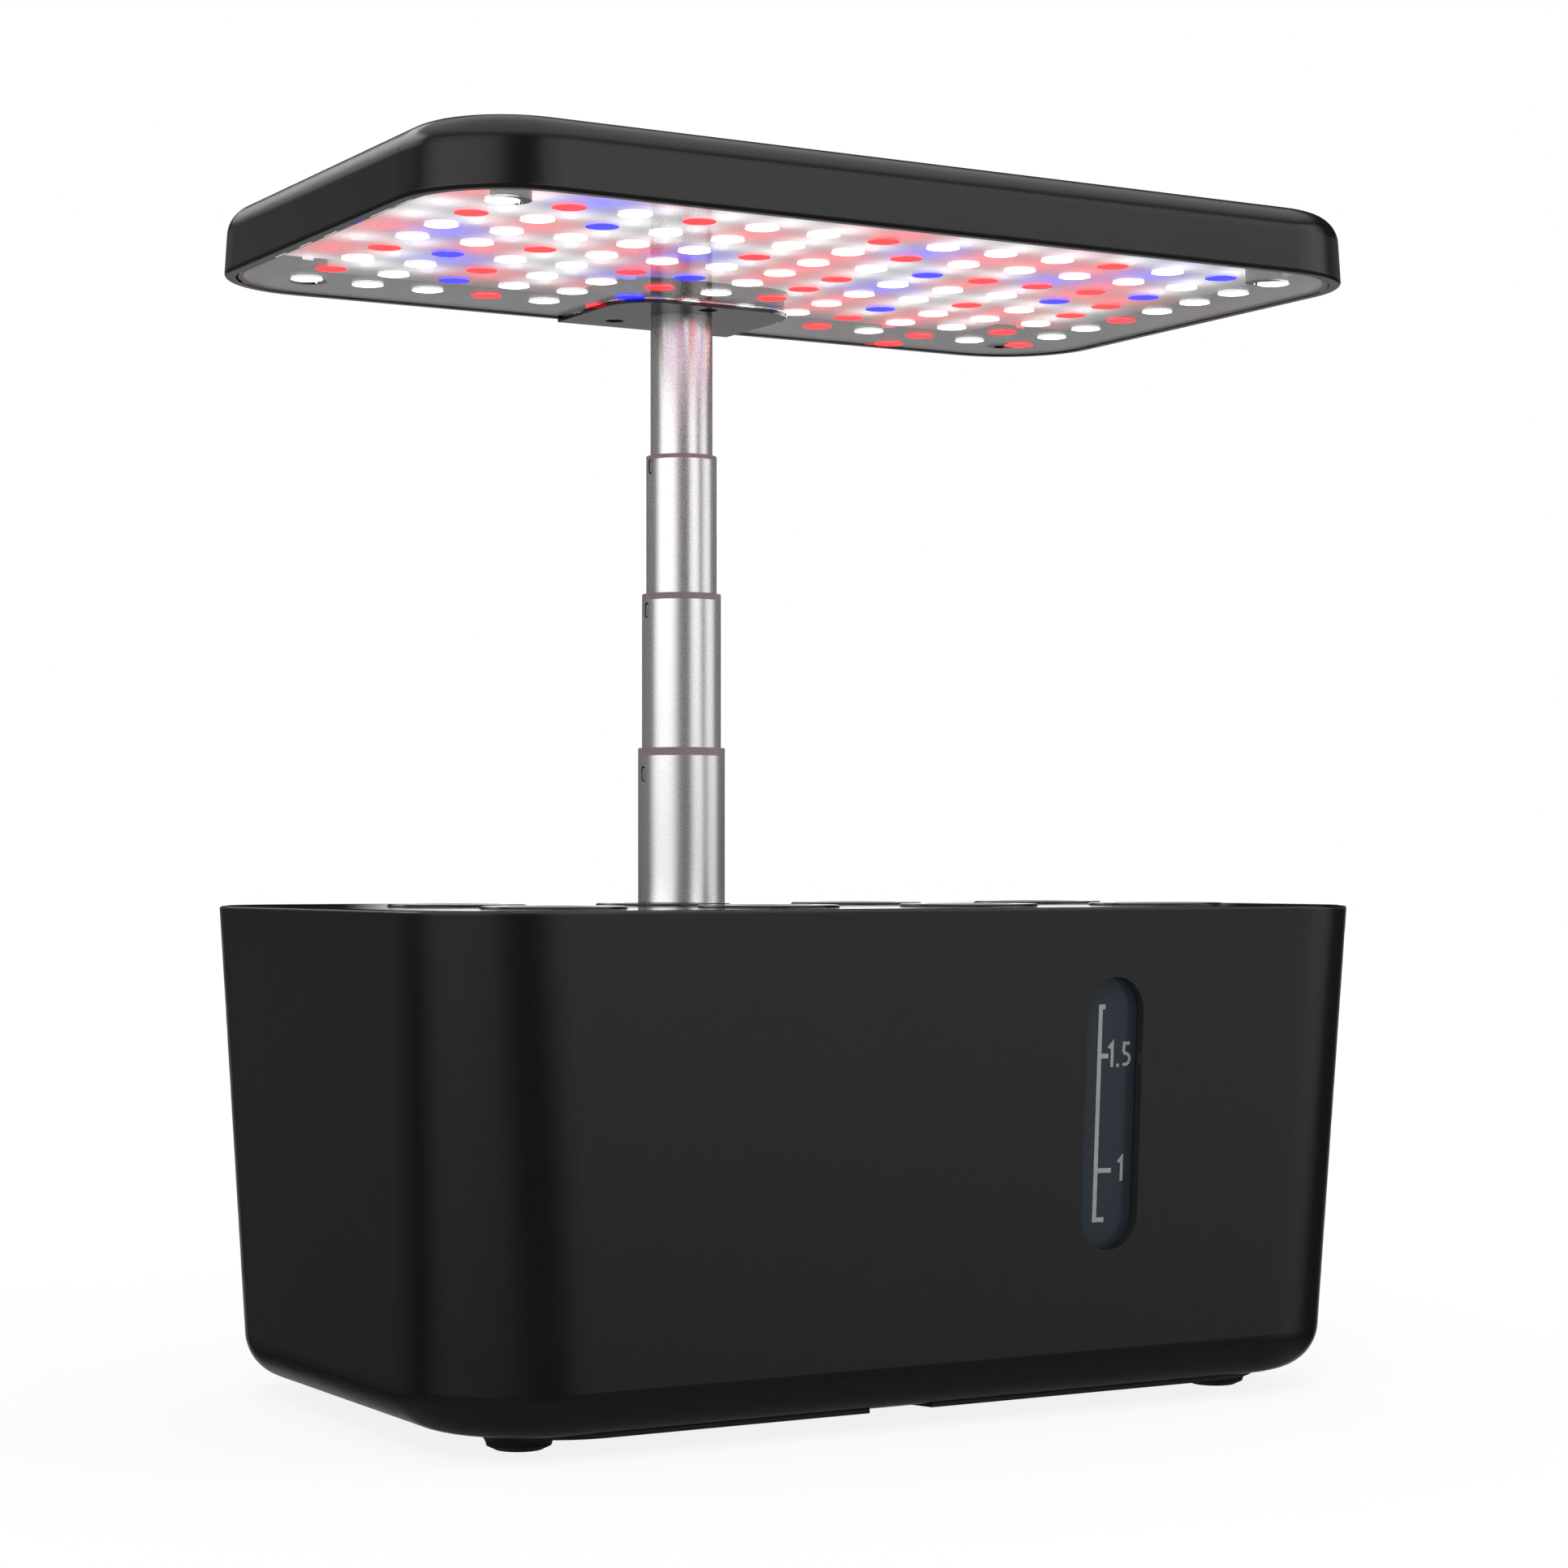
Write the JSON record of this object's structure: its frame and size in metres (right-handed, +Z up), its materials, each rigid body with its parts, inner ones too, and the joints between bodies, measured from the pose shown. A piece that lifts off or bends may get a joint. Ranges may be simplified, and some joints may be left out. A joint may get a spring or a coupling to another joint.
{
  "type": "countertop hydroponic garden",
  "caption": "Water tank with a gauge window and a planting deck of lift-out pods, under an LED grow lamp on a telescoping aluminium pole.",
  "frame": {"origin": "on the surface that the feet stand on, under the middle of the tank", "axes": "+X right along the long side, -Y towards the user and the water gauge, +Z up"},
  "size_m": [0.32, 0.198, 0.3651],
  "materials": {
    "tank_plastic": "satin moulded ABS",
    "deck_plastic": "polished moulded ABS",
    "lamp_plastic": "satin moulded ABS",
    "base_plastic": "fine matt moulding",
    "rubber": "matt",
    "gauge_clear": "clear polycarbonate, smoke tint",
    "mark_print": "printed marks",
    "cover_clear": "clear polycarbonate, polished",
    "tube_metal": "brushed and anodised",
    "bush_plastic": "matt mauve-grey moulding",
    "bracket_plastic": "satin moulded ABS",
    "screw_steel": "black zinc",
    "pin_steel": "ground",
    "board_white": "white solder mask",
    "board_green": "green solder mask",
    "lens_white": "glowing lens",
    "lens_red": "glowing lens",
    "lens_blue": "glowing lens",
    "button_plastic": "soft-touch moulding",
    "pod_plastic": "fine matt moulding",
    "sponge": "peat sponge",
    "pump_plastic": "fine matt moulding",
    "impeller_plastic": "white moulding",
    "riser_clear": "clear vinyl",
    "inlet_plastic": "matt"
  },
  "bodies": {
    "tank_base": {"water_tank": "tank_plastic", "base_plate": "base_plastic", "rubber_feet": "rubber", "tank_screws": "screw_steel", "window_gasket": "rubber", "window_pane": "gauge_clear", "window_scale": "mark_print", "grow_deck": "deck_plastic", "flap_hinge_pin": "pin_steel", "pole_socket": "base_plastic", "tube_1": "tube_metal", "guide_bush_1": "bush_plastic", "pump_housing": "pump_plastic", "pump_cover": "pump_plastic", "pump_shaft": "pin_steel", "pump_riser": "riser_clear"},
    "pump_rotor": {"pump_impeller": "impeller_plastic"},
    "flap": {"filler_flap": "deck_plastic"},
    "pole_stage_2": {"tube_2": "tube_metal", "guide_bush_2": "bush_plastic"},
    "pole_stage_3": {"tube_3": "tube_metal", "guide_bush_3": "bush_plastic"},
    "lamp_head": {"tube_4": "tube_metal", "bracket_plate": "bracket_plastic", "lamp_shell": "lamp_plastic", "lamp_cover": "cover_clear", "lamp_screws": "screw_steel", "led_board": "board_white", "white_lenses": "lens_white", "red_lenses": "lens_red", "blue_lenses": "lens_blue", "control_board": "board_green", "dc_inlet": "inlet_plastic"},
    "light_key": {"light_button": "button_plastic"},
    "pump_key": {"pump_button": "button_plastic"},
    "pod_1": {"pod_basket_1": "pod_plastic", "pod_sponge_1": "sponge", "pod_cap_1": "pod_plastic"},
    "pod_2": {"pod_basket_2": "pod_plastic", "pod_sponge_2": "sponge", "pod_cap_2": "pod_plastic"},
    "pod_3": {"pod_basket_3": "pod_plastic", "pod_sponge_3": "sponge", "pod_cap_3": "pod_plastic"},
    "pod_4": {"pod_basket_4": "pod_plastic", "pod_sponge_4": "sponge", "pod_cap_4": "pod_plastic"},
    "pod_5": {"pod_basket_5": "pod_plastic", "pod_sponge_5": "sponge", "pod_cap_5": "pod_plastic"},
    "pod_6": {"pod_basket_6": "pod_plastic", "pod_sponge_6": "sponge", "pod_cap_6": "pod_plastic"},
    "pod_7": {"pod_basket_7": "pod_plastic", "pod_sponge_7": "sponge", "pod_cap_7": "pod_plastic"},
    "pod_8": {"pod_basket_8": "pod_plastic", "pod_sponge_8": "sponge", "pod_cap_8": "pod_plastic"}
  },
  "joints": [
    {"name": "lower_pole_slide", "type": "slide", "parent": "tank_base", "child": "pole_stage_2", "axis": [0, 0, 1], "range_m": [-0.048, 0]},
    {"name": "middle_pole_slide", "type": "slide", "parent": "pole_stage_2", "child": "pole_stage_3", "axis": [0, 0, 1], "range_m": [-0.0435, 0]},
    {"name": "upper_pole_slide", "type": "slide", "parent": "pole_stage_3", "child": "lamp_head", "axis": [0, 0, 1], "range_m": [-0.0453, 0]},
    {"name": "flap_hinge", "type": "hinge", "parent": "tank_base", "child": "flap", "pos_m": [0.1, 0.082, 0.1486], "axis": [-1, 0, 0], "range_deg": [0, 100]},
    {"name": "impeller_spin", "type": "hinge", "parent": "tank_base", "child": "pump_rotor", "pos_m": [-0.081, 0.04, 0.0325], "axis": [1, 0, 0], "continuous": true},
    {"name": "light_button_press", "type": "slide", "parent": "lamp_head", "child": "light_key", "axis": [0, 0, -1], "range_m": [0, 0.0008], "stiffness_N_per_m": 400},
    {"name": "pump_button_press", "type": "slide", "parent": "lamp_head", "child": "pump_key", "axis": [0, 0, -1], "range_m": [0, 0.0008], "stiffness_N_per_m": 400},
    {"name": "pod_1_lift", "type": "slide", "parent": "tank_base", "child": "pod_1", "axis": [0, 0, 1], "range_m": [0, 0.05]},
    {"name": "pod_2_lift", "type": "slide", "parent": "tank_base", "child": "pod_2", "axis": [0, 0, 1], "range_m": [0, 0.05]},
    {"name": "pod_3_lift", "type": "slide", "parent": "tank_base", "child": "pod_3", "axis": [0, 0, 1], "range_m": [0, 0.05]},
    {"name": "pod_4_lift", "type": "slide", "parent": "tank_base", "child": "pod_4", "axis": [0, 0, 1], "range_m": [0, 0.05]},
    {"name": "pod_5_lift", "type": "slide", "parent": "tank_base", "child": "pod_5", "axis": [0, 0, 1], "range_m": [0, 0.05]},
    {"name": "pod_6_lift", "type": "slide", "parent": "tank_base", "child": "pod_6", "axis": [0, 0, 1], "range_m": [0, 0.05]},
    {"name": "pod_7_lift", "type": "slide", "parent": "tank_base", "child": "pod_7", "axis": [0, 0, 1], "range_m": [0, 0.05]},
    {"name": "pod_8_lift", "type": "slide", "parent": "tank_base", "child": "pod_8", "axis": [0, 0, 1], "range_m": [0, 0.05]}
  ]
}
